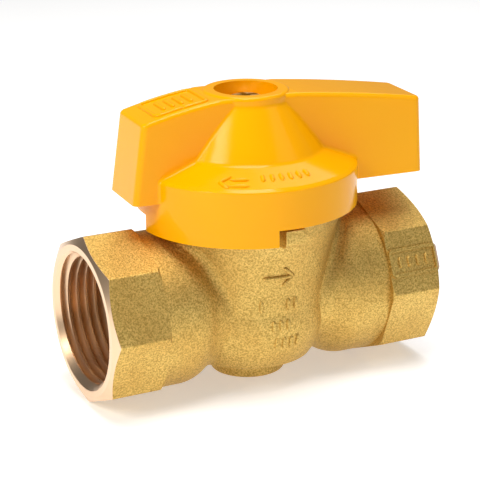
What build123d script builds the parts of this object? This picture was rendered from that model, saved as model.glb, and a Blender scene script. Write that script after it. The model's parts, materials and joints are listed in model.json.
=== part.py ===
from build123d import *
import os
from math import cos, radians, sin, sqrt

# Gas ball valve for 3/4-14 NPT pipe, female by female, with a quarter-turn handle.
# Millimetres. The pipe runs along X, the stem along Z, and the origin is where they cross.

os.makedirs("parts", exist_ok=True)

# ---- driving dimensions ----
# body, outside
body_half = 35.1            # pipe axis, centre to end face
octagon_corner_r = 16.6     # corner radius of the wrench octagon
octagon_back_x = 23.8       # where the octagon steps down to the round shank
octagon_edge_r = 0.7
octagon_step = 0.5          # bevel of the octagon's back edge
octagon_face_r = 14.6       # face circle left by the turned chamfer
octagon_chamfer = 1.0       # length of that chamfer at the corners
shank_r = 15.1              # round shank next to the octagon
neck_r = 12.4               # round neck where it runs into the drum
neck_start_x = 9.5
neck_end_x = 18.2
drum_waist_r = 15.5         # at the pipe axis
drum_shoulder_r = 17.3
drum_shoulder_z = 13.75
top_ring_r = 17.9
top_ring_z = 15.7
body_top_z = 23.2
bowl_r = 12.5
bowl_z = -11.3
bowl_middle = (14.9, -6.6)
boss_r = 7.3
boss_top_z = -13.5
boss_bottom_z = -15.4
boss_round = 0.6
body_top_bevel = 0.4
# the two stop lugs, front and back, half a turn apart round the stem
lug_x = -0.35               # middle of the front lug
lug_half = 2.05
lug_r = 20.6
lug_bottom_z = 14.9
lug_top_z = 18.4
lug_round = 1.4
# raised frame on one facet
panel_length = 10.8
panel_width = 5.6
panel_border = 0.7
panel_corner_r = 0.9
panel_height = 0.35
# waterway, 3/4-14 NPT ports
thread_r = 13.28            # major radius of the thread at the face
thread_mouth_r = 13.55
thread_end_x = 21.1
thread_floor_r = 10.5       # where the drill's cone meets the thread's end
waterway_r = 7.5
waterway_x = 19.1
seat_pocket_r = 10.5
seat_pocket_x = 13.75
cavity_r = 12.2
bonnet_seat_z = 14.0
bonnet_bore_r = 15.05
# ball and lower bearing
ball_r = 11.5
slot_width = 3.2
slot_floor_z = 8.9
trunnion_r = 3.0
trunnion_bottom_z = -13.9
bush_r = 4.6
bush_bottom_z = -14.2
bush_top_z = -12.0
running_gap = 0.06
# seats
seat_r = 10.4
seat_front_x = 7.2
seat_back_x = 12.5
seat_gap = 0.05
backing_bore_r = 7.9
# stem, bonnet and their seals
tang_thickness = 3.0
tang_width = 10.0
tang_bottom_z = 9.0
shoulder_r = 7.0
shoulder_bottom_z = 12.0
shoulder_top_z = 14.0
stem_r = 5.45
stem_turned_top_z = 22.6
stem_square = 7.6
square_round = 0.3          # corners of the square and of its hole
stem_top_z = 35.2
stem_tap_r = 2.55
stem_groove_z = (16.9, 19.6)
stem_groove_r = 4.15
groove_width = 1.8
stem_ring_section_r = 0.65
bonnet_r = 15.0
bonnet_bore = 5.5
bonnet_rim_z = 20.8
bonnet_boss_r = 9.2
bonnet_top_z = 22.0
bonnet_groove_z = 17.4
bonnet_groove_r = 13.7
bonnet_ring_section_r = 0.66
thrust_recess_r = 7.3
thrust_recess_top_z = 14.9
snap_ring_inner_r = 12.9
snap_ring_outer_r = 16.0
snap_groove_r = 16.05
snap_gap = 7.0
spring_inner_r = 6.2
spring_outer_r = 9.0
spring_thickness = 0.5
# handle
rest_turn = -4.3            # the handle stands this far from the pipe's line, clockwise from above
skirt_r = 21.4
skirt_inner_r = 19.2
skirt_z = 19.0              # bottom of the skirt
flap_z = 15.8               # bottom of its longer part, which the lugs stop
stop_gap = 0.1              # between flap and lug when the handle reaches a stop
rim_z = 26.4                # corner of the rim before rounding
rim_round = 1.3
brim_r = 20.6
brim_z = 26.9
cone_base_r = 14.7
cone_base_z = 29.5
cone_base_round = 1.6
cone_top_r = 8.4
cone_top_z = 39.0
hub_top_z = 40.9
hub_edge = 0.7
screw_recess_r = 6.1
screw_recess_z = 35.6
hub_bottom_z = 23.2
square_hole = 7.75
# hollow of the bell: radius and height up from the skirt to the hub
hollow = ((skirt_inner_r, 24.0), (17.6, 24.9), (13.2, 27.2), (10.6, 31.0), (9.4, 31.0))
wing_half = 6.8
wing_left_x = -25.3         # at the bottom of the end faces
wing_left_top_x = -23.2
wing_right_x = 34.7
wing_right_top_x = 34.0
wing_bottom_z = 22.3
# top edge of the wings, from the left end over the hub to the right end
wing_top_left = ((-23.2, 37.5), (-15.6, 39.4), (-8.0, 40.6))
wing_top_right = ((8.0, 40.6), (19.8, 39.35), (34.0, 37.3))
wing_draft = 0.5
wing_end_r = 1.2
wing_edge_r = 0.8
pocket_gap = 0.9            # between the skirt and the wing's pocket
pocket_wall = 2.2
pocket_top_z = 34.0
# handle screw, M5 pan head
screw_r = 2.5
screw_bottom_z = 26.0
washer_top_z = 36.6
head_r = 4.6
head_side_z = 38.2
head_top_z = 39.6
head_flat_r = 1.5
lock_washer_split = 0.6
cross_width = 1.1
cross_length = 5.0
cross_depth = 1.5

origin = (0, 0, 0)
turned_x = (cos(radians(rest_turn)), sin(radians(rest_turn)), 0)
turned_plan = Plane(origin, x_dir=turned_x, z_dir=(0, 0, 1))
turned_side = Plane(origin, x_dir=turned_x, z_dir=(-turned_plan.y_dir.X, -turned_plan.y_dir.Y, 0))
turned_end = Plane(origin, x_dir=turned_plan.y_dir, z_dir=turned_x)


def seat_rings(side):
    """Profiles of one seat and its rubber backing ring, on the XZ plane, for side -1 or 1."""
    ball_face_r = ball_r + seat_gap
    lip_x = sqrt(ball_face_r**2 - waterway_r**2)
    lip_r = sqrt(ball_face_r**2 - seat_front_x**2)
    middle = ball_face_r * sin(radians(45))
    seat = [(lip_x, waterway_r), (seat_back_x, waterway_r), (seat_back_x, seat_r), (seat_front_x, seat_r)]
    seat.append((seat_front_x, lip_r))
    return [(side * x, r) for x, r in seat], (side * middle, middle)


# ---- valve body: one brass forging ----
with BuildPart() as valve_body:
    # wrench octagon with a corner on top, its corners turned off at the end face
    with BuildSketch(Plane.YZ.offset(octagon_back_x)) as octagon:
        RegularPolygon(octagon_corner_r, 8)
        fillet(octagon.vertices(), octagon_edge_r)
    extrude(amount=body_half - octagon_back_x)
    with BuildSketch(Plane.XZ) as turned_envelope:
        with BuildLine():
            Polyline(
                (octagon_back_x, 0),
                (octagon_back_x, octagon_corner_r - octagon_step),
                (octagon_back_x + octagon_step, octagon_corner_r),
                (body_half - octagon_chamfer, octagon_corner_r),
                (body_half, octagon_face_r),
                (body_half, 0),
                close=True,
            )
        make_face()
    revolve(axis=Axis.X, mode=Mode.INTERSECT)
    mirror(about=Plane.YZ)
    # round shanks that narrow to a neck in two equal arcs
    for side in (-1, 1):
        with BuildSketch(Plane.XZ) as shank:
            with BuildLine():
                neck = (side * neck_start_x, neck_r)
                full = (side * neck_end_x, shank_r)
                turn = ((neck[0] + full[0]) / 2, (neck_r + shank_r) / 2)
                Line((0, 0), (0, neck_r))
                Line((0, neck_r), neck)
                TangentArc(neck, turn, tangent=(side, 0))
                TangentArc(full, turn, tangent=(-side, 0))
                Line(full, (side * (octagon_back_x + 1), shank_r))
                Line((side * (octagon_back_x + 1), shank_r), (side * (octagon_back_x + 1), 0))
                Line((side * (octagon_back_x + 1), 0), (0, 0))
            make_face()
        revolve(axis=Axis.X)
    # drum on the stem axis, bowl-shaped below, with a small boss at the bottom
    with BuildSketch(Plane.XZ) as drum:
        with BuildLine():
            FilletPolyline(
                (0, body_top_z),
                (0, boss_bottom_z),
                (boss_r, boss_bottom_z),
                (boss_r, boss_top_z),
                (bowl_r, bowl_z),
                radius=(0, boss_round, 0),
            )
            ThreePointArc((bowl_r, bowl_z), bowl_middle, (drum_waist_r, 0))
            TangentArc((drum_waist_r, 0), (drum_shoulder_r, drum_shoulder_z), tangent=(0, 1))
            Polyline(
                (drum_shoulder_r, drum_shoulder_z),
                (top_ring_r, top_ring_z),
                (top_ring_r, body_top_z - body_top_bevel),
                (top_ring_r - body_top_bevel, body_top_z),
                (0, body_top_z),
            )
        make_face()
    revolve(axis=Axis.Z)
    # stop lugs, their lower outer corners rounded
    for side in (-1, 1):
        lug_root = side * (top_ring_r - 2)
        with BuildSketch(Plane.YZ.offset(-side * lug_x)) as lug:
            with BuildLine():
                FilletPolyline(
                    (lug_root, lug_bottom_z),
                    (lug_root, lug_top_z),
                    (side * lug_r, lug_top_z),
                    (side * lug_r, lug_bottom_z),
                    radius=(0, 0, 0, lug_round),
                    close=True,
                )
            make_face()
        extrude(amount=lug_half, both=True)
    # raised frame on the facet just above the front corner of the outlet end
    facet_angle = radians(22.5)
    facet_r = octagon_corner_r * cos(facet_angle)
    facet = Plane(
        ((octagon_back_x + body_half) / 2, -facet_r * cos(facet_angle), facet_r * sin(facet_angle)),
        x_dir=(1, 0, 0),
        z_dir=(0, -cos(facet_angle), sin(facet_angle)),
    )
    with BuildSketch(facet.offset(-panel_height)) as panel:
        RectangleRounded(panel_length, panel_width, panel_corner_r)
        offset(amount=-panel_border, mode=Mode.SUBTRACT)
    extrude(amount=2 * panel_height)
    # ports, waterway and seat pockets
    for side in (-1, 1):
        with BuildSketch(Plane.XZ) as port:
            with BuildLine():
                Polyline(
                    (0, 0),
                    (0, seat_pocket_r),
                    (side * seat_pocket_x, seat_pocket_r),
                    (side * seat_pocket_x, waterway_r),
                    (side * waterway_x, waterway_r),
                    (side * thread_end_x, thread_floor_r),
                    (side * thread_end_x, thread_r),
                    (side * (body_half - thread_mouth_r + thread_r), thread_r),
                    (side * body_half, thread_mouth_r),
                    (side * body_half, 0),
                    close=True,
                )
            make_face()
        revolve(axis=Axis.X, mode=Mode.SUBTRACT)
    # ball cavity, bush pocket, bonnet bore and snap ring groove
    with BuildSketch(Plane.XZ) as cavity:
        with BuildLine():
            pocket_z = -sqrt(cavity_r**2 - bush_r**2)
            Polyline((0, body_top_z), (0, bush_bottom_z), (bush_r, bush_bottom_z), (bush_r, pocket_z))
            RadiusArc((bush_r, pocket_z), (cavity_r, 0), -cavity_r)
            Polyline(
                (cavity_r, 0),
                (cavity_r, bonnet_seat_z),
                (bonnet_bore_r, bonnet_seat_z),
                (bonnet_bore_r, bonnet_rim_z - 0.05),
                (snap_groove_r, bonnet_rim_z - 0.05),
                (snap_groove_r, bonnet_top_z + 0.05),
                (bonnet_bore_r, bonnet_top_z + 0.05),
                (bonnet_bore_r, body_top_z),
                (0, body_top_z),
            )
        make_face()
    revolve(axis=Axis.Z, mode=Mode.SUBTRACT)
valve_body.part.label = "valve_body"
export_step(valve_body.part, "parts/valve_body.step")

# ---- ball, slotted across its flow bore, with a trunnion below ----
with BuildPart() as ball:
    Sphere(ball_r)
    with BuildSketch(Plane.XY.offset(trunnion_bottom_z)) as trunnion:
        Circle(trunnion_r)
    extrude(amount=-trunnion_bottom_z - waterway_r - 1)
    with BuildSketch(turned_end) as flow_bore:
        Circle(waterway_r)
    extrude(amount=ball_r + 1, both=True, mode=Mode.SUBTRACT)
    with BuildSketch(turned_plan.offset(slot_floor_z)) as slot:
        Rectangle(slot_width, 2 * ball_r)
    extrude(amount=ball_r - slot_floor_z + 1, mode=Mode.SUBTRACT)
ball.part.label = "ball"
export_step(ball.part, "parts/ball.step")

# ---- bush under the ball ----
with BuildPart() as bottom_bush:
    with BuildSketch(Plane.XY.offset(bush_bottom_z)) as bush_ring:
        Circle(bush_r)
        Circle(trunnion_r + running_gap, mode=Mode.SUBTRACT)
    extrude(amount=bush_top_z - bush_bottom_z)
bottom_bush.part.label = "bottom_bush"
export_step(bottom_bush.part, "parts/bottom_bush.step")

# ---- seats and the rubber rings behind them ----
for side, end in ((-1, "inlet"), (1, "outlet")):
    points, middle = seat_rings(side)
    with BuildPart() as seat_ring:
        with BuildSketch(Plane.XZ) as seat_section:
            with BuildLine():
                Polyline(*points)
                ThreePointArc(points[-1], middle, points[0])
            make_face()
        revolve(axis=Axis.X)
    seat_ring.part.label = end + "_seat_ring"
    export_step(seat_ring.part, f"parts/{end}_seat_ring.step")
    with BuildPart() as backing_ring:
        with BuildSketch(Plane.YZ.offset(side * seat_back_x)) as backing_section:
            Circle(seat_r)
            Circle(backing_bore_r, mode=Mode.SUBTRACT)
        extrude(amount=side * (seat_pocket_x - seat_back_x))
    backing_ring.part.label = end + "_seat_backing_ring"
    export_step(backing_ring.part, f"parts/{end}_seat_backing_ring.step")

# ---- stem: tang, thrust shoulder, grooved shank, square and tapped end ----
with BuildPart() as stem:
    with BuildSketch(turned_plan.offset(tang_bottom_z)) as tang:
        Rectangle(tang_thickness, tang_width)
    extrude(amount=shoulder_bottom_z - tang_bottom_z)
    with BuildSketch(Plane.XZ) as turned_stem:
        with BuildLine():
            Polyline(
                (0, shoulder_bottom_z),
                (shoulder_r, shoulder_bottom_z),
                (shoulder_r, shoulder_top_z),
                (stem_r, shoulder_top_z),
                (stem_r, stem_turned_top_z),
                (0, stem_turned_top_z),
                close=True,
            )
        make_face()
    revolve(axis=Axis.Z)
    for groove_z in stem_groove_z:
        with BuildSketch(Plane.XY.offset(groove_z - groove_width / 2)) as stem_groove:
            Circle(stem_r + 1)
            Circle(stem_groove_r, mode=Mode.SUBTRACT)
        extrude(amount=groove_width, mode=Mode.SUBTRACT)
    with BuildSketch(turned_plan.offset(stem_turned_top_z)) as square:
        RectangleRounded(stem_square, stem_square, square_round)
    extrude(amount=stem_top_z - stem_turned_top_z)
    with BuildSketch(Plane.XY.offset(stem_top_z)) as tapping:
        Circle(stem_tap_r)
    extrude(amount=-(stem_top_z - screw_bottom_z + 1), mode=Mode.SUBTRACT)
stem.part.label = "stem"
export_step(stem.part, "parts/stem.step")

for place, ring_z in zip(("lower", "upper"), stem_groove_z):
    with BuildPart() as stem_o_ring:
        with BuildSketch(Plane.XZ) as stem_ring_section:
            with Locations((stem_groove_r + stem_ring_section_r, ring_z)):
                Circle(stem_ring_section_r)
        revolve(axis=Axis.Z)
    stem_o_ring.part.label = "stem_o_ring_" + place
    export_step(stem_o_ring.part, f"parts/stem_o_ring_{place}.step")

# ---- bonnet that closes the drum, with its O-ring and snap ring ----
with BuildPart() as bonnet:
    with BuildSketch(Plane.XZ) as bonnet_section:
        with BuildLine():
            Polyline(
                (bonnet_bore, thrust_recess_top_z),
                (thrust_recess_r, thrust_recess_top_z),
                (thrust_recess_r, bonnet_seat_z),
                (bonnet_r, bonnet_seat_z),
                (bonnet_r, bonnet_groove_z - groove_width / 2),
                (bonnet_groove_r, bonnet_groove_z - groove_width / 2),
                (bonnet_groove_r, bonnet_groove_z + groove_width / 2),
                (bonnet_r, bonnet_groove_z + groove_width / 2),
                (bonnet_r, bonnet_rim_z),
                (bonnet_boss_r, bonnet_rim_z),
                (bonnet_boss_r, bonnet_top_z),
                (bonnet_bore, bonnet_top_z),
                close=True,
            )
        make_face()
    revolve(axis=Axis.Z)
bonnet.part.label = "bonnet"
export_step(bonnet.part, "parts/bonnet.step")

with BuildPart() as bonnet_o_ring:
    with BuildSketch(Plane.XZ) as bonnet_ring_section:
        with Locations((bonnet_groove_r + bonnet_ring_section_r, bonnet_groove_z)):
            Circle(bonnet_ring_section_r)
    revolve(axis=Axis.Z)
bonnet_o_ring.part.label = "bonnet_o_ring"
export_step(bonnet_o_ring.part, "parts/bonnet_o_ring.step")

with BuildPart() as bonnet_retaining_ring:
    with BuildSketch(Plane.XY.offset(bonnet_rim_z)) as snap_ring:
        Circle(snap_ring_outer_r)
        Circle(snap_ring_inner_r, mode=Mode.SUBTRACT)
        with Locations((0, snap_ring_outer_r)):
            Rectangle(snap_gap, snap_ring_outer_r, mode=Mode.SUBTRACT)
    extrude(amount=bonnet_top_z - bonnet_rim_z)
bonnet_retaining_ring.part.label = "bonnet_retaining_ring"
export_step(bonnet_retaining_ring.part, "parts/bonnet_retaining_ring.step")

with BuildPart() as stem_thrust_washer:
    with BuildSketch(Plane.XY.offset(shoulder_top_z + 0.1)) as thrust_washer:
        Circle(thrust_recess_r - 0.1)
        Circle(stem_r + running_gap, mode=Mode.SUBTRACT)
    extrude(amount=thrust_recess_top_z - shoulder_top_z - 0.1)
stem_thrust_washer.part.label = "stem_thrust_washer"
export_step(stem_thrust_washer.part, "parts/stem_thrust_washer.step")

# ---- dished spring washer between the bonnet and the handle ----
with BuildPart() as spring_washer:
    with BuildSketch(Plane.XZ) as dished_section:
        with BuildLine():
            Polyline(
                (spring_outer_r, bonnet_top_z),
                (spring_outer_r, bonnet_top_z + spring_thickness),
                (spring_inner_r, hub_bottom_z - 0.1),
                (spring_inner_r, hub_bottom_z - 0.1 - spring_thickness),
                close=True,
            )
        make_face()
    revolve(axis=Axis.Z)
spring_washer.part.label = "spring_washer"
export_step(spring_washer.part, "parts/spring_washer.step")

# ---- handle: two wings of unequal length on a bell with a conical shoulder ----
with BuildPart() as handle:
    with BuildSketch(turned_side) as wing_outline:
        with BuildLine():
            Polyline(wing_top_left[0], (wing_left_x, wing_bottom_z), (wing_right_x, wing_bottom_z), wing_top_right[2])
            ThreePointArc(*wing_top_right)
            Line(wing_top_right[0], wing_top_left[2])
            ThreePointArc(*wing_top_left)
        make_face()
    extrude(amount=2 * wing_half, both=True)
    with BuildSketch(turned_plan.offset(wing_bottom_z)) as wing_plan:
        Rectangle(4 * wing_right_x, 2 * wing_half)
    extrude(amount=hub_top_z - wing_bottom_z, taper=wing_draft, mode=Mode.INTERSECT)
    upright = handle.edges().filter_by(lambda edge: edge.bounding_box().size.Z > hub_top_z - wing_bottom_z - 5)
    fillet(upright, wing_end_r)
    wing_tops = handle.faces().filter_by(lambda face: face.center().Z > wing_top_left[0][1])
    ridge = [edge for edge in wing_tops.edges() if abs(edge.center().Y) > 1 or abs(edge.center().X) > 20]
    fillet(ridge, wing_edge_r)
    with BuildSketch(Plane.XZ) as bell:
        with BuildLine():
            FilletPolyline(
                (0, skirt_z),
                (skirt_r, skirt_z),
                (skirt_r, rim_z),
                (brim_r, brim_z),
                (cone_base_r, cone_base_z),
                (cone_top_r, cone_top_z),
                (cone_top_r, hub_top_z),
                (0, hub_top_z),
                radius=(0, 0, rim_round / 3, rim_round / 3, cone_base_round, rim_round, hub_edge, 0),
                close=True,
            )
        make_face()
    revolve(axis=Axis.Z)
    # the skirt's longer part, a quarter turn less the width of a lug
    with BuildSketch(turned_plan.offset(flap_z)) as flap:
        Circle(skirt_r)
        Circle(skirt_inner_r, mode=Mode.SUBTRACT)
        with Locations((lug_x - lug_half - stop_gap, -(lug_x + lug_half + stop_gap))):
            Rectangle(skirt_r, skirt_r, align=(Align.MAX, Align.MAX), mode=Mode.INTERSECT)
    extrude(amount=skirt_z - flap_z)
    # hollow of the bell, around the hub
    with BuildSketch(Plane.XZ) as bell_inside:
        with BuildLine():
            Polyline(
                (0, skirt_z),
                (skirt_inner_r, skirt_z),
                *hollow,
                (hollow[-1][0], hub_bottom_z),
                (0, hub_bottom_z),
                close=True,
            )
        make_face()
    revolve(axis=Axis.Z, mode=Mode.SUBTRACT)
    # screw recess, square hole and the cored underside of the long wing
    with BuildSketch(Plane.XY.offset(screw_recess_z)) as screw_recess:
        Circle(screw_recess_r)
    extrude(amount=hub_top_z - screw_recess_z, mode=Mode.SUBTRACT)
    with BuildSketch(turned_plan.offset(hub_bottom_z)) as square_socket:
        RectangleRounded(square_hole, square_hole, square_round)
    extrude(amount=screw_recess_z - hub_bottom_z, mode=Mode.SUBTRACT)
    pocket_start = skirt_r + pocket_gap
    pocket_end = wing_right_x - pocket_wall
    with BuildSketch(turned_plan.offset(wing_bottom_z)) as wing_pocket:
        with Locations(((pocket_start + pocket_end) / 2, 0)):
            RectangleRounded(pocket_end - pocket_start, 2 * (wing_half - pocket_wall), wing_end_r)
    extrude(amount=pocket_top_z - wing_bottom_z, mode=Mode.SUBTRACT)
handle.part.label = "handle"
export_step(handle.part, "parts/handle.step")

# ---- screw and spring lock washer that hold the handle ----
with BuildPart() as handle_lock_washer:
    with BuildSketch(Plane.XY.offset(screw_recess_z)) as split_washer:
        Circle(head_r)
        Circle(screw_r + 0.15, mode=Mode.SUBTRACT)
        with Locations((0, head_r)):
            Rectangle(lock_washer_split, head_r, mode=Mode.SUBTRACT)
    extrude(amount=washer_top_z - screw_recess_z)
handle_lock_washer.part.label = "handle_lock_washer"
export_step(handle_lock_washer.part, "parts/handle_lock_washer.step")

with BuildPart() as handle_screw:
    with BuildSketch(Plane.XZ) as screw_section:
        with BuildLine():
            Polyline((0, head_top_z), (0, screw_bottom_z), (screw_r - 0.4, screw_bottom_z))
            Polyline(
                (screw_r - 0.4, screw_bottom_z),
                (screw_r, screw_bottom_z + 0.4),
                (screw_r, washer_top_z),
                (head_r, washer_top_z),
                (head_r, head_side_z),
            )
            TangentArc((head_flat_r, head_top_z), (head_r, head_side_z), tangent=(1, 0))
            Line((head_flat_r, head_top_z), (0, head_top_z))
        make_face()
    revolve(axis=Axis.Z)
    with BuildSketch(Plane.XY.offset(head_top_z)) as cross:
        Rectangle(cross_length, cross_width)
        Rectangle(cross_width, cross_length)
    extrude(amount=-cross_depth, mode=Mode.SUBTRACT)
handle_screw.part.label = "handle_screw"
export_step(handle_screw.part, "parts/handle_screw.step")
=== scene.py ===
import json
from math import cos, pi, radians, sin, sqrt, tan

import bmesh
import bpy
import numpy as np
from mathutils import Matrix, Vector
from mathutils.bvhtree import BVHTree


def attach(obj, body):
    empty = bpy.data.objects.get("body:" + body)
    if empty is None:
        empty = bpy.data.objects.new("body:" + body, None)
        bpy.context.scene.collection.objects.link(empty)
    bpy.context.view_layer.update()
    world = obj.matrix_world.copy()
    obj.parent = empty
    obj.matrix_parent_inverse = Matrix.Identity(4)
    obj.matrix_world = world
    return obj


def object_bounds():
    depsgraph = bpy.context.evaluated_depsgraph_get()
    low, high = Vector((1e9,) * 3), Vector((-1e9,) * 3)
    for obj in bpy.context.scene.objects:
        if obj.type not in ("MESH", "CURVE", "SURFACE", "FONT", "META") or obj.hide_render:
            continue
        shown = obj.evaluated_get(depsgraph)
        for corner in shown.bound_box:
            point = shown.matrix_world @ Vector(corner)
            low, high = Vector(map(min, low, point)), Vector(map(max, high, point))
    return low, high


# Looks of a gas ball valve: forged brass body with pipe threads, coated die-cast handle.
# Blender works in metres; the sizes below are millimetres and go through MM.

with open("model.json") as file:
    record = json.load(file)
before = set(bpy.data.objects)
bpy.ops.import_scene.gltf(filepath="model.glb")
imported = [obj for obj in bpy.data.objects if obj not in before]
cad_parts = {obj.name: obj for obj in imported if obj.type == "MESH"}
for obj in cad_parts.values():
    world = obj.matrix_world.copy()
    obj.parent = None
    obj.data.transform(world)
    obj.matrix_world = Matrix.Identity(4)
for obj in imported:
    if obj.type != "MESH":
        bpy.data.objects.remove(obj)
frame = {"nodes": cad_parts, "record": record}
cad_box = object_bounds()
MM = 0.001

# ---- sizes of the valve, in millimetres ----
BODY_HALF = 35.1
OCTAGON_CORNER_R, OCTAGON_BACK_X = 16.6, 23.8
OCTAGON_FACE_R, OCTAGON_CHAMFER = 14.6, 1.0
MOUTH_R = 13.55
THREAD_ROOT_R, THREAD_PITCH, THREAD_DEPTH = 13.28, 1.814, 1.1
THREAD_LENGTH, THREAD_TAPER = 13.2, 1 / 32
# half the width of a ridge's crest, and how deep its foot is sunk into the bore's wall
THREAD_FLAT, THREAD_BURIED = 0.20, 0.5
BORE_START_X = 18.5
NECK_R, SHANK_R = 12.4, 15.1
NECK_START_X, NECK_END_X = 9.5, 18.2
WAIST_R, SHOULDER_R, SHOULDER_Z = 15.5, 17.3, 13.75
TOP_RING_R, TOP_RING_Z = 17.9, 15.7
BOWL_R, BOWL_Z, BOWL_MIDDLE = 12.5, -11.3, (14.9, -6.6)
BOSS_R, BOSS_TOP_Z, BOSS_BOTTOM_Z = 7.3, -13.5, -15.4
NECK_CREASE_R = 1.9
WING_HALF, WING_BOTTOM_Z, WING_DRAFT = 6.8, 22.3, radians(0.5)
WING_CREASE_R = 0.8
# outline of the bell, radius and height, and the radius of each inner corner
BELL = [(21.4, 22.4), (21.4, 26.4), (20.6, 26.9), (14.7, 29.5), (8.4, 39.0), (8.4, 40.1)]
BELL_ROUND = [0.43, 0.43, 1.6, 1.3]
# the handle stands a little off the pipe line
REST_TURN = radians(-4.3)
# the upper front facet of an octagon leans back from upright by this much
FACET_TURN = pi / 8
# cast marks: radius of a bead, gap between its points, and its slimmer ends
BEAD_R, BEAD_GAP, BEAD_END = 0.42, 0.4, 0.4
UP, BACK = Vector((0, 0, 1)), Vector((0, 1, 0))


# ---- small helpers ----
def srgb(code):
    """A hex colour such as D0A860 as linear RGBA."""
    parts = [int(code[i:i + 2], 16) / 255 for i in (0, 2, 4)]
    return [c / 12.92 if c <= 0.04045 else ((c + 0.055) / 1.055) ** 2.4 for c in parts] + [1.0]


def add_node(tree, kind, settings, inputs):
    """Adds one node with its settings and links, and gives its first output.

    An input is named or numbered among those in use, and is a value or a socket to link."""
    node = tree.nodes.new(kind)
    for name, value in settings.items():
        setattr(node, name, value)
    used = [socket for socket in node.inputs if socket.enabled]
    for key, value in inputs.items():
        socket = used[key] if isinstance(key, int) else next(s for s in used if s.name == key)
        if isinstance(value, bpy.types.NodeSocket):
            tree.links.new(value, socket)
        else:
            socket.default_value = value
    return next((socket for socket in node.outputs if socket.enabled), None)


def new_material(name):
    """An empty node material, with the Object coordinates to read."""
    material = bpy.data.materials.new(name)
    material.use_nodes = True
    tree = material.node_tree
    tree.nodes.clear()
    place = add_node(tree, "ShaderNodeTexCoord", {}, {}).node.outputs["Object"]
    return material, tree, place


def turned_zone(tree, place):
    """1 where the forging was turned on a lathe: end faces, corner chamfers and ports."""
    across = add_node(tree, "ShaderNodeVectorMath", {"operation": "MULTIPLY"}, {0: place, 1: (0, 1, 1)})
    pipe_r = add_node(tree, "ShaderNodeVectorMath", {"operation": "LENGTH"}, {0: across})
    x = add_node(tree, "ShaderNodeSeparateXYZ", {}, {0: place})
    along = add_node(tree, "ShaderNodeMath", {"operation": "ABSOLUTE"}, {0: x})
    slope = (OCTAGON_CORNER_R - OCTAGON_FACE_R) / OCTAGON_CHAMFER
    reach = add_node(tree, "ShaderNodeMath", {"operation": "MULTIPLY_ADD"}, {0: along, 1: slope, 2: pipe_r})
    tests = (
        ("GREATER_THAN", along, (BODY_HALF - 0.03) * MM),
        ("GREATER_THAN", reach, (BODY_HALF * slope + OCTAGON_FACE_R - 0.08) * MM),
        ("LESS_THAN", pipe_r, (THREAD_ROOT_R + 0.35) * MM),
    )
    face, chamfer, bore = (add_node(tree, "ShaderNodeMath", {"operation": test}, {0: value, 1: limit})
                           for test, value, limit in tests)
    outer = add_node(tree, "ShaderNodeMath", {"operation": "GREATER_THAN"}, {0: along, 1: BORE_START_X * MM})
    bore = add_node(tree, "ShaderNodeMath", {"operation": "MULTIPLY"}, {0: bore, 1: outer})
    ends = add_node(tree, "ShaderNodeMath", {"operation": "MAXIMUM"}, {0: face, 1: chamfer})
    return add_node(tree, "ShaderNodeMath", {"operation": "MAXIMUM"}, {0: ends, 1: bore}), along


# ---- materials ----
def forged_brass():
    """Hot-forged brass, shot-blasted: a matt sandy grain in gold and olive, with bright turned ends."""
    material, tree, place = new_material("forged_brass_shot_blasted")
    zone, along = turned_zone(tree, place)
    # shot marks are about 0.1 mm; drawn at 0.22 mm and 0.34 mm so that they show
    dimple = add_node(tree, "ShaderNodeTexNoise", {},
                      {"Vector": place, "Scale": 1 / (0.22 * MM), "Detail": 2.0})
    speckle = add_node(tree, "ShaderNodeTexNoise", {},
                       {"Vector": place, "Scale": 1 / (0.34 * MM), "Detail": 3.0, "Roughness": 0.7})
    # the forging scale left slow clouds about 7 mm across
    cloud = add_node(tree, "ShaderNodeTexNoise", {}, {"Vector": place, "Scale": 1 / (7 * MM), "Detail": 2.0})
    cloud_share = add_node(tree, "ShaderNodeMapRange", {}, {0: cloud, 1: 0.35, 2: 0.65})
    gold = add_node(tree, "ShaderNodeMix", {"data_type": "RGBA"},
                    {"Factor": cloud_share, "A": srgb("EBCB77"), "B": srgb("E2BD6B")})
    speckle_share = add_node(tree, "ShaderNodeMapRange", {}, {0: speckle, 1: 0.38, 2: 0.60})
    blasted = add_node(tree, "ShaderNodeMix", {"data_type": "RGBA"},
                       {"Factor": speckle_share, "A": srgb("B3924A"), "B": gold})
    colour = add_node(tree, "ShaderNodeMix", {"data_type": "RGBA"},
                      {"Factor": zone, "A": blasted, "B": srgb("EAC9A6")})
    rough = add_node(tree, "ShaderNodeMapRange", {}, {0: zone, 3: 0.50, 4: 0.30})
    matt = add_node(tree, "ShaderNodeMath", {"operation": "SUBTRACT"}, {0: 1.0, 1: zone})
    grain = add_node(tree, "ShaderNodeMath", {"operation": "ADD"}, {0: dimple, 1: speckle})
    grain = add_node(tree, "ShaderNodeMath", {"operation": "MULTIPLY"}, {0: grain, 1: matt})
    dimpled = add_node(tree, "ShaderNodeBump", {}, {"Height": grain, "Distance": 0.09 * MM})
    # the lathe tool's rings on the ends are 0.25 mm apart
    rings = add_node(tree, "ShaderNodeTexNoise", {"noise_dimensions": "1D"},
                     {"W": along, "Scale": 1 / (0.25 * MM)})
    rings = add_node(tree, "ShaderNodeMath", {"operation": "MULTIPLY"}, {0: rings, 1: zone})
    normal = add_node(tree, "ShaderNodeBump", {},
                      {"Height": rings, "Distance": 0.008 * MM, "Normal": dimpled})
    shader = add_node(tree, "ShaderNodeBsdfPrincipled", {},
                      {"Base Color": colour, "Metallic": 1.0, "Roughness": rough, "Normal": normal})
    add_node(tree, "ShaderNodeOutputMaterial", {}, {"Surface": shader})
    return material


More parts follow.
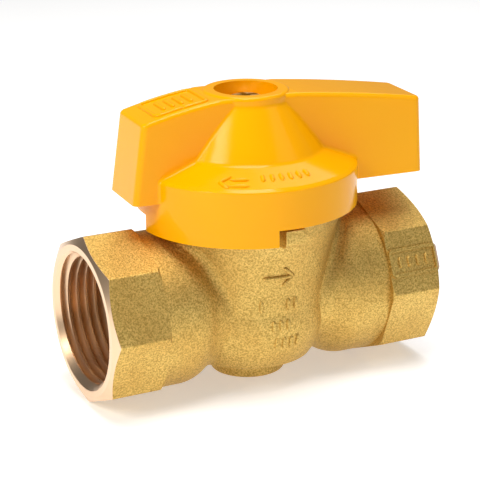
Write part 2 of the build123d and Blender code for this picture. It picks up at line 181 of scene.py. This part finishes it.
def coated_zinc():
    """Die-cast zinc with a gloss polyester coating: deep orange yellow with a faint orange peel."""
    material, tree, place = new_material("yellow_polyester_coating")
    # orange peel is about 1.6 mm across; the colour drifts over about 12 mm
    peel = add_node(tree, "ShaderNodeTexNoise", {}, {"Vector": place, "Scale": 1 / (1.6 * MM), "Detail": 2.0})
    drift = add_node(tree, "ShaderNodeTexNoise", {}, {"Vector": place, "Scale": 1 / (12 * MM), "Detail": 1.0})
    drift_share = add_node(tree, "ShaderNodeMapRange", {}, {0: drift, 1: 0.3, 2: 0.7})
    colour = add_node(tree, "ShaderNodeMix", {"data_type": "RGBA"},
                      {"Factor": drift_share, "A": srgb("FFB200"), "B": srgb("FFAE00")})
    rough = add_node(tree, "ShaderNodeMapRange", {}, {0: peel, 1: 0.3, 2: 0.7, 3: 0.12, 4: 0.17})
    normal = add_node(tree, "ShaderNodeBump", {}, {"Height": peel, "Distance": 0.008 * MM})
    shader = add_node(tree, "ShaderNodeBsdfPrincipled", {},
                      {"Base Color": colour, "Roughness": rough, "Normal": normal,
                       "IOR": 1.45, "Specular IOR Level": 0.24})
    add_node(tree, "ShaderNodeOutputMaterial", {}, {"Surface": shader})
    return material


def small_part(name, light, dark, metallic, roughness, mark_mm, mark_depth_mm):
    """Material of the small inner parts: two near tones mottled by the marks that the making left."""
    material, tree, place = new_material(name)
    marks = add_node(tree, "ShaderNodeTexNoise", {},
                     {"Vector": place, "Scale": 1 / (mark_mm * MM), "Detail": 2.0})
    share = add_node(tree, "ShaderNodeMapRange", {}, {0: marks, 1: 0.3, 2: 0.7})
    colour = add_node(tree, "ShaderNodeMix", {"data_type": "RGBA"},
                      {"Factor": share, "A": srgb(dark), "B": srgb(light)})
    rough = add_node(tree, "ShaderNodeMapRange", {},
                     {0: marks, 1: 0.2, 2: 0.8, 3: roughness, 4: roughness + 0.1})
    normal = add_node(tree, "ShaderNodeBump", {}, {"Height": marks, "Distance": mark_depth_mm * MM})
    shader = add_node(tree, "ShaderNodeBsdfPrincipled", {},
                      {"Base Color": colour, "Metallic": metallic, "Roughness": rough, "Normal": normal})
    add_node(tree, "ShaderNodeOutputMaterial", {}, {"Surface": shader})
    return material


brass = forged_brass()
yellow = coated_zinc()
slot_material = {
    "forged_brass": brass,
    "yellow_coating": yellow,
    # turned brass, bright where the tool left it
    "machined_brass": small_part("turned_brass", "E6C48A", "D2A862", 1.0, 0.22, 0.6, 0.01),
    # chrome plate on brass, polished to a near mirror
    "polished_ball": small_part("polished_chrome", "E4E4E4", "D8D8D8", 1.0, 0.06, 2.0, 0.002),
    # oiled spring steel, dark and satin
    "spring_steel": small_part("oiled_spring_steel", "77777A", "5C5C60", 1.0, 0.35, 0.8, 0.01),
    # plated steel drawn in a light warm yellow, lighter and yellower than bare zinc plate
    "plated_steel": small_part("zinc_plated_steel", "F4DE9C", "E4C67E", 1.0, 0.28, 0.8, 0.01),
    # PTFE: waxy white
    "seat_plastic": small_part("ptfe", "F2F2EE", "E8E8E2", 0.0, 0.45, 1.5, 0.02),
    # nitrile rubber: matt black
    "seal_rubber": small_part("nitrile_rubber", "1C1C1C", "121212", 0.0, 0.6, 0.8, 0.02),
}
for part in frame["record"]["subparts"]:
    node = frame["nodes"][part["node"]]
    node.data.materials.clear()
    node.data.materials.append(slot_material[part["material_slot"]])


# ---- mesh helpers ----
def finish_piece(name, mesh, material, body, sharp=radians(35)):
    """Turns a mesh's normals outwards, shades it, and makes it a piece that rides on a body."""
    shape = bmesh.new()
    shape.from_mesh(mesh)
    bmesh.ops.remove_doubles(shape, verts=shape.verts, dist=1e-7)
    bmesh.ops.recalc_face_normals(shape, faces=shape.faces)
    shape.to_mesh(mesh)
    shape.free()
    mesh.shade_smooth()
    mesh.set_sharp_from_angle(angle=sharp)
    mesh.materials.clear()
    mesh.materials.append(material)
    made = bpy.data.objects.new(name, mesh)
    bpy.context.scene.collection.objects.link(made)
    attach(made, body)
    return made


def grown_mesh(name, source, group, values):
    """The plain mesh that a Geometry Nodes group makes from a mesh or curve with the given inputs."""
    maker = bpy.data.objects.new(name + "_maker", source)
    bpy.context.scene.collection.objects.link(maker)
    modifier = maker.modifiers.new(group.name, "NODES")
    modifier.node_group = group
    sockets = {item.name: item.identifier for item in group.interface.items_tree}
    for label, value in values.items():
        modifier[sockets[label]] = value
    bpy.context.view_layer.update()
    made = bpy.data.meshes.new_from_object(maker.evaluated_get(bpy.context.evaluated_depsgraph_get()))
    maker.modifiers.remove(modifier)
    bpy.data.objects.remove(maker)
    return made


def new_group(name, sizes):
    """An empty Geometry Nodes group with named sizes and a material as inputs."""
    tree = bpy.data.node_groups.new(name, "GeometryNodeTree")
    tree.interface.new_socket("Geometry", in_out="OUTPUT", socket_type="NodeSocketGeometry")
    tree.interface.new_socket("Geometry", in_out="INPUT", socket_type="NodeSocketGeometry")
    for size in sizes:
        tree.interface.new_socket(size, in_out="INPUT", socket_type="NodeSocketFloat")
    tree.interface.new_socket("Material", in_out="INPUT", socket_type="NodeSocketMaterial")
    return tree, add_node(tree, "NodeGroupInput", {}, {}).node.outputs


def close_group(tree, mesh, material):
    real = add_node(tree, "GeometryNodeRealizeInstances", {}, {0: mesh})
    coated = add_node(tree, "GeometryNodeSetMaterial", {}, {"Geometry": real, "Material": material})
    add_node(tree, "NodeGroupOutput", {}, {0: coated})
    return tree


# ---- pipe threads ----
def thread_group():
    """A tapered helix that carries a V ridge with a small flat crest, pointing to its axis."""
    tree, given = new_group("pipe_thread", ("Turns", "Mouth Radius", "End Radius", "Length"))
    helix = add_node(tree, "GeometryNodeCurveSpiral", {},
                     {"Resolution": 96, "Rotations": given["Turns"], "Start Radius": given["Mouth Radius"],
                      "End Radius": given["End Radius"], "Height": given["Length"]})
    upright = add_node(tree, "GeometryNodeSetCurveNormal", {"mode": "Z_UP"}, {"Curve": helix})
    flank = (THREAD_PITCH / 2 - 0.05 - THREAD_FLAT) / THREAD_DEPTH
    foot = (THREAD_FLAT + flank * (THREAD_DEPTH + THREAD_BURIED)) * MM
    crest, depth, buried = THREAD_FLAT * MM, THREAD_DEPTH * MM, THREAD_BURIED * MM
    ridge = add_node(tree, "GeometryNodeCurvePrimitiveQuadrilateral", {"mode": "POINTS"},
                     {"Point 1": (-buried, foot, 0), "Point 2": (depth, crest, 0),
                      "Point 3": (depth, -crest, 0), "Point 4": (-buried, -foot, 0)})
    swept = add_node(tree, "GeometryNodeCurveToMesh", {},
                     {"Curve": upright, "Profile Curve": ridge, "Fill Caps": True})
    return close_group(tree, swept, given["Material"])


def pipe_thread(name, side):
    """One tapered pipe thread inside the port on side -1 or 1, cut off flush with the end face."""
    lead = THREAD_PITCH * 1.4
    made = grown_mesh(name, bpy.data.meshes.new(name), ridge_group, {
        "Turns": (THREAD_LENGTH + lead) / THREAD_PITCH,
        "Mouth Radius": (THREAD_ROOT_R + lead * THREAD_TAPER) * MM,
        "End Radius": (THREAD_ROOT_R - THREAD_LENGTH * THREAD_TAPER) * MM,
        "Length": (THREAD_LENGTH + lead) * MM,
        "Material": brass,
    })
    # the helix rises along Z: turn it to run inwards from the port's mouth
    made.transform(Matrix.Translation((side * (BODY_HALF + lead) * MM, 0, 0))
                   @ Matrix.Rotation(-side * pi / 2, 4, "Y"))
    shape = bmesh.new()
    shape.from_mesh(made)
    bmesh.ops.remove_doubles(shape, verts=shape.verts, dist=1e-7)
    everything = shape.verts[:] + shape.edges[:] + shape.faces[:]
    bmesh.ops.bisect_plane(shape, geom=everything, dist=1e-8, plane_co=(side * (BODY_HALF - 0.02) * MM, 0, 0),
                           plane_no=(side, 0, 0), clear_outer=True)
    rim = [edge for edge in shape.edges if edge.is_boundary]
    bmesh.ops.holes_fill(shape, edges=rim, sides=0)
    bmesh.ops.triangulate(shape, faces=[face for face in shape.faces if len(face.verts) > 4])
    # the mouth's bevel cuts the first ridge back
    for vertex in shape.verts:
        depth_in = BODY_HALF - abs(vertex.co.x) / MM
        least_r = (MOUTH_R - 0.15 - depth_in) * MM
        across = Vector((0, vertex.co.y, vertex.co.z))
        if across.length < least_r:
            across *= least_r / across.length
            vertex.co = Vector((vertex.co.x, across.y, across.z))
    shape.to_mesh(made)
    shape.free()
    return finish_piece(name, made, brass, "valve", radians(25))


ridge_group = thread_group()
pipe_thread("inlet_thread", -1)
pipe_thread("outlet_thread", 1)


# ---- rounded creases ----
def rounded_path(corners, radii, steps=6):
    """A path through corners, each inner corner rounded to its radius."""
    corners = [np.array(corner, float) for corner in corners]
    path = [corners[0]]
    for before, corner, after, radius in zip(corners, corners[1:], corners[2:], radii):
        back = (before - corner) / np.linalg.norm(before - corner)
        on = (after - corner) / np.linalg.norm(after - corner)
        half = np.arccos(np.clip(back @ on, -1, 1)) / 2
        middle = corner + (back + on) / np.linalg.norm(back + on) * radius / sin(half)
        first = corner + back * radius / tan(half) - middle
        last = corner + on * radius / tan(half) - middle
        sweep = pi - 2 * half
        for t in np.linspace(0, 1, steps):
            path.append(middle + (sin((1 - t) * sweep) * first + sin(t * sweep) * last) / sin(sweep))
    return np.array(path + [corners[-1]])


def evenly(path, gap):
    """The same path with points about one gap apart."""
    lengths = np.concatenate([[0], np.cumsum(np.linalg.norm(np.diff(path, axis=0), axis=1))])
    places = np.linspace(0, lengths[-1], max(2, round(lengths[-1] / gap) + 1))
    return np.stack([np.interp(places, lengths, column) for column in path.T], axis=1)


def crease_strip(name, spots, closed, material, body, steps=9):
    """A concave strip through spots, each the rolling ball's centre and its two points of touch."""
    points, faces = [], []
    for centre, touch_a, touch_b in spots:
        first, last = touch_a - centre, touch_b - centre
        sweep = np.arccos(np.clip(first @ last / np.linalg.norm(first) / np.linalg.norm(last), -1, 1))
        for t in np.linspace(0, 1, steps):
            arm = (sin((1 - t) * sweep) * first + sin(t * sweep) * last) / max(sin(sweep), 1e-6)
            points.append(centre + arm * 1.004)
        points.append(centre + (first + last) * (0.5 + 0.65 * sin(sweep / 2)**2))
    ring, count = steps + 1, len(spots)
    for k in range(count if closed else count - 1):
        here, there = k * ring, (k + 1) % count * ring
        faces += [(here + i, here + (i + 1) % ring, there + (i + 1) % ring, there + i) for i in range(ring)]
    if not closed:
        faces += [tuple(range(ring)), tuple(range((count - 1) * ring, count * ring))]
    mesh = bpy.data.meshes.new(name)
    mesh.from_pydata([Vector(point) * MM for point in points], [], faces)
    return finish_piece(name, mesh, material, body)


def drum_outline():
    """Radius and height of the drum, from the boss up to its top."""
    flare_r = ((SHOULDER_R - WAIST_R)**2 + SHOULDER_Z**2) / (2 * (SHOULDER_R - WAIST_R))
    flare = [(WAIST_R + flare_r - sqrt(flare_r**2 - z**2), z) for z in np.linspace(0, SHOULDER_Z, 16)]
    boss = [(0, BOSS_BOTTOM_Z), (BOSS_R, BOSS_BOTTOM_Z), (BOSS_R, BOSS_TOP_Z)]
    bowl = [(BOWL_R, BOWL_Z), BOWL_MIDDLE]
    top_ring = [(TOP_RING_R, TOP_RING_Z), (TOP_RING_R, 30)]
    return np.array(boss + bowl + flare + top_ring)


def neck_point(x):
    """Radius and outward normal (along, out) of the neck at a distance x from the stem axis."""
    half = (NECK_END_X - NECK_START_X) / 2
    rise = (SHANK_R - NECK_R) / 2
    bend = (half**2 + rise**2) / (2 * rise)
    if x <= NECK_START_X:
        return NECK_R, (0.0, 1.0)
    if x >= NECK_END_X:
        return SHANK_R, (0.0, 1.0)
    if x < NECK_START_X + half:
        run = x - NECK_START_X
        drop = sqrt(bend**2 - run**2)
        return NECK_R + bend - drop, (-run / bend, drop / bend)
    run = NECK_END_X - x
    drop = sqrt(bend**2 - run**2)
    return SHANK_R - bend + drop, (-run / bend, drop / bend)


def off_outline(outline, r, z):
    """Distance of (r, z) outside the outline, negative inside it, and the nearest point."""
    first, second = outline[:-1], outline[1:]
    span = second - first
    share = ((r - first[:, 0]) * span[:, 0] + (z - first[:, 1]) * span[:, 1]) / (span**2).sum(1)
    near = first + np.clip(share, 0, 1)[:, None] * span
    gaps = np.hypot(near[:, 0] - r, near[:, 1] - z)
    inside = r < np.interp(z, outline[1:, 1], outline[1:, 0])
    return (-gaps.min() if inside else gaps.min()), near[gaps.argmin()]


def neck_crease(name, side, around=144):
    """The rounding where the neck on side -1 or 1 runs into the drum."""
    outline = drum_outline()
    spots = []
    for angle in np.linspace(0, 2 * pi, around, endpoint=False):
        low, high = 3.0, 22.0
        for _ in range(40):
            x = (low + high) / 2
            radius, (along, out) = neck_point(x)
            reach = radius + NECK_CREASE_R * out
            centre = np.array([side * (x + NECK_CREASE_R * along), reach * cos(angle), reach * sin(angle)])
            gap, (near_r, near_z) = off_outline(outline, np.hypot(centre[0], centre[1]), centre[2])
            low, high = (x, high) if gap < NECK_CREASE_R else (low, x)
        stem_r = np.hypot(centre[0], centre[1])
        on_neck = np.array([side * x, radius * cos(angle), radius * sin(angle)])
        on_drum = np.array([centre[0] * near_r / stem_r, centre[1] * near_r / stem_r, near_z])
        spots.append((centre, on_neck, on_drum))
    return crease_strip(name, spots, True, brass, "valve")


def wing_crease(name, side_x, side_y):
    """The rounding where one side of a wing runs into the bell."""
    outline = evenly(rounded_path(BELL, BELL_ROUND), 0.3)
    steps = np.gradient(outline, axis=0)
    normals = np.stack([steps[:, 1], -steps[:, 0]], axis=1)
    normals /= np.linalg.norm(normals, axis=1)[:, None]
    turn = np.array([[cos(REST_TURN), -sin(REST_TURN), 0], [sin(REST_TURN), cos(REST_TURN), 0], [0, 0, 1]])
    spots = []
    for (r, z), (out, up) in zip(outline, normals):
        centre_r, centre_z = r + WING_CREASE_R * out, z + WING_CREASE_R * up
        wing_y = WING_HALF - (centre_z - WING_BOTTOM_Z) * tan(WING_DRAFT)
        centre_y = side_y * (wing_y + WING_CREASE_R)
        if centre_r <= abs(centre_y):
            break
        centre = np.array([side_x * sqrt(centre_r**2 - centre_y**2), centre_y, centre_z])
        on_wing = np.array([centre[0], side_y * wing_y, centre_z])
        arm = WING_CREASE_R * out / centre_r
        on_bell = centre - np.array([centre[0] * arm, centre[1] * arm, WING_CREASE_R * up])
        spots.append((turn @ centre, turn @ on_wing, turn @ on_bell))
    return crease_strip(name, spots, False, yellow, "handle")


for side, end in ((-1, "inlet"), (1, "outlet")):
    neck_crease(end + "_crease", side)
for side_x, wing in ((-1, "short_wing"), (1, "long_wing")):
    for side_y, face in ((-1, "front"), (1, "back")):
        wing_crease(wing + "_" + face + "_crease", side_x, side_y)


# ---- cast-in marks: plain arrows, frames and tally strokes ----
def bead_group():
    """A round bead along each spline, closed at its ends."""
    tree, given = new_group("cast_bead", ("Bead Radius",))
    ring = add_node(tree, "GeometryNodeCurvePrimitiveCircle", {},
                    {"Resolution": 12, "Radius": given["Bead Radius"]})
    swept = add_node(tree, "GeometryNodeCurveToMesh", {},
                     {"Curve": given["Geometry"], "Profile Curve": ring, "Fill Caps": True,
                      "Scale": add_node(tree, "GeometryNodeInputRadius", {}, {})})
    return close_group(tree, swept, given["Material"])


def cast_marks(name, strokes, to_space, down, node, material, body):
    """Beads along strokes that are dropped on to a CAD node; to_space takes a flat point above it."""
    mesh = frame["nodes"][node].data
    surface = BVHTree.FromPolygons([v.co for v in mesh.vertices], [p.vertices for p in mesh.polygons])
    curve = bpy.data.curves.new(name, "CURVE")
    curve.dimensions = "3D"
    for stroke in strokes:
        spots = evenly(np.array(stroke, float), BEAD_GAP)
        laid = [surface.ray_cast(to_space(*spot) * MM, down)[0] for spot in spots]
        spline = curve.splines.new("POLY")
        spline.points.add(len(laid) - 1)
        for spot, point in zip(laid, spline.points):
            point.co = (*spot, 1)
        spline.points[0].radius = spline.points[-1].radius = BEAD_END
    made = grown_mesh(name, curve, beads, {"Bead Radius": BEAD_R * MM, "Material": material})
    return finish_piece(name, made, material, body)


def tally(places, low, high):
    """Upright strokes side by side."""
    return [[(u, low), (u, high)] for u in places]


def on_drum(x, z):
    return Vector((x, -60, z))


def on_facet(x, v):
    out = 20
    y = -out * cos(FACET_TURN) - v * sin(FACET_TURN)
    return Vector((x, y, out * sin(FACET_TURN) - v * cos(FACET_TURN)))


def on_handle(x, y):
    return Vector((x * cos(REST_TURN) - y * sin(REST_TURN), x * sin(REST_TURN) + y * cos(REST_TURN), 60))


def on_bell(angle, r):
    """Angle in tenths of a radian round the stem, so that both numbers are about as large."""
    return on_handle(r * cos(angle / 10), r * sin(angle / 10))


beads = bead_group()
drum_strokes = [[(-4.6, 8.0), (1.4, 8.0)], [(-0.6, 9.9), (1.5, 8.0), (-0.6, 6.1)]]
drum_strokes += tally((-4.6, 0.8, 2.4), 1.0, 3.4)
drum_strokes += tally((-2.2, -0.7, 0.8), -3.0, -0.8)
drum_strokes += tally((-1.4, 0.1, 1.6, 3.1), -6.8, -4.4)
cast_marks("drum_marks", drum_strokes, on_drum, BACK, "valve_body", brass, "valve")

facet_middle = (OCTAGON_BACK_X + BODY_HALF) / 2
facet_strokes = tally([facet_middle + step for step in (-3.0, -1.0, 1.0, 3.0)], -1.1, 1.1)
into_facet = Vector((0, cos(FACET_TURN), -sin(FACET_TURN)))
cast_marks("facet_marks", facet_strokes, on_facet, into_facet, "valve_body", brass, "valve")

bell_strokes = [[(43.4, 18.1), (41.4, 18.1)], [(43.4, 19.7), (41.4, 19.7)],
                [(41.5, 17.3), (40.5, 18.9), (41.5, 20.4)]]
bell_strokes += tally((44.8, 45.8, 46.8, 47.8, 48.8, 49.8), 16.9, 18.7)
cast_marks("bell_marks", bell_strokes, on_bell, -UP, "handle", yellow, "handle")

# the panel's outline starts and ends in the middle of its front side
start_x, end_x, half_y = -19.9, -9.7, 4.9
middle = ((start_x + end_x) / 2, -half_y)
panel = [middle, (start_x, -half_y), (start_x, half_y), (end_x, half_y), (end_x, -half_y), middle]
panel_strokes = [rounded_path(panel, [1] * 4)] + tally((-17.4, -15.6, -13.8, -12.0), -2.6, 2.6)
cast_marks("wing_marks", panel_strokes, on_handle, -UP, "handle", yellow, "handle")


# ---- floor, light and camera ----
def area_light(name, azimuth, elevation, distance, width, height, watts, colour="FFFFFF"):
    """A soft box that faces the valve; azimuth 0 is in front, towards -Y, and positive is to +X."""
    az, el = radians(azimuth), radians(elevation)
    aim = Vector((0, 0, 0.012))
    place = aim + distance * Vector((sin(az) * cos(el), -cos(az) * cos(el), sin(el)))
    data = bpy.data.lights.new(name, "AREA")
    data.shape = "RECTANGLE"
    data.size, data.size_y, data.energy = width, height, watts
    data.color = srgb(colour)[:3]
    lamp = bpy.data.objects.new(name, data)
    lamp.location = place
    lamp.rotation_euler = (place - aim).to_track_quat("Z", "Y").to_euler()
    bpy.context.scene.collection.objects.link(lamp)


def floor():
    """A pale floor that glows a little, like a light table."""
    z = cad_box[0][2]
    mesh = bpy.data.meshes.new("floor")
    mesh.from_pydata([(-3, -3, z), (3, -3, z), (3, 3, z), (-3, 3, z)], [], [(0, 1, 2, 3)])
    material, tree, _ = new_material("pale_floor")
    shader = add_node(tree, "ShaderNodeBsdfPrincipled", {},
                      {"Base Color": srgb("F4F4F4"), "Roughness": 0.8, "Specular IOR Level": 0.1,
                       "Emission Color": srgb("FFFFFF"), "Emission Strength": 0.38})
    add_node(tree, "ShaderNodeOutputMaterial", {}, {"Surface": shader})
    mesh.materials.append(material)
    made = bpy.data.objects.new("floor", mesh)
    bpy.context.scene.collection.objects.link(made)


def camera():
    """A long lens, a little above the pipe and to the left of the front."""
    azimuth, elevation, roll = radians(-27.12), radians(18.24), radians(-0.40)
    distance, shift_right, shift_up = 351.17, -1.344, 10.045
    back = Vector((sin(azimuth) * cos(elevation), -cos(azimuth) * cos(elevation), sin(elevation)))
    level = Vector((cos(azimuth), sin(azimuth), 0))
    up = back.cross(level)
    right_turned = level * cos(roll) + up * sin(roll)
    up_turned = up * cos(roll) - level * sin(roll)
    data = bpy.data.cameras.new("camera")
    data.lens, data.sensor_width, data.clip_start = 134.1, 36.0, 0.01
    made = bpy.data.objects.new("camera", data)
    turn = Matrix((right_turned, up_turned, back)).transposed().to_4x4()
    place = (back * distance + right_turned * shift_right + up_turned * shift_up) * MM
    made.matrix_world = Matrix.Translation(place) @ turn
    bpy.context.scene.collection.objects.link(made)
    bpy.context.scene.camera = made


def studio():
    """A white surround: it is seen at full strength and lights the valve at part strength."""
    world = bpy.data.worlds.new("studio")
    world.use_nodes = True
    tree = world.node_tree
    tree.nodes.clear()
    seen = add_node(tree, "ShaderNodeLightPath", {}, {}).node.outputs["Is Camera Ray"]
    strength = add_node(tree, "ShaderNodeMapRange", {}, {0: seen, 3: 0.14, 4: 1.0})
    background = add_node(tree, "ShaderNodeBackground", {}, {"Color": srgb("FFFFFF"), "Strength": strength})
    add_node(tree, "ShaderNodeOutputWorld", {}, {"Surface": background})
    bpy.context.scene.world = world


floor()
camera()
area_light("left_box", -76, 36, 0.55, 0.22, 0.26, 1.7, "FFF8EE")
area_light("top_box", 0, 85, 0.55, 0.30, 0.30, 2.1)
area_light("back_box", 140, 50, 0.55, 0.30, 0.30, 0.5)
area_light("right_fill", 45, 30, 0.55, 0.30, 0.30, 0.2)
studio()
bpy.context.scene.view_settings.view_transform = "Standard"
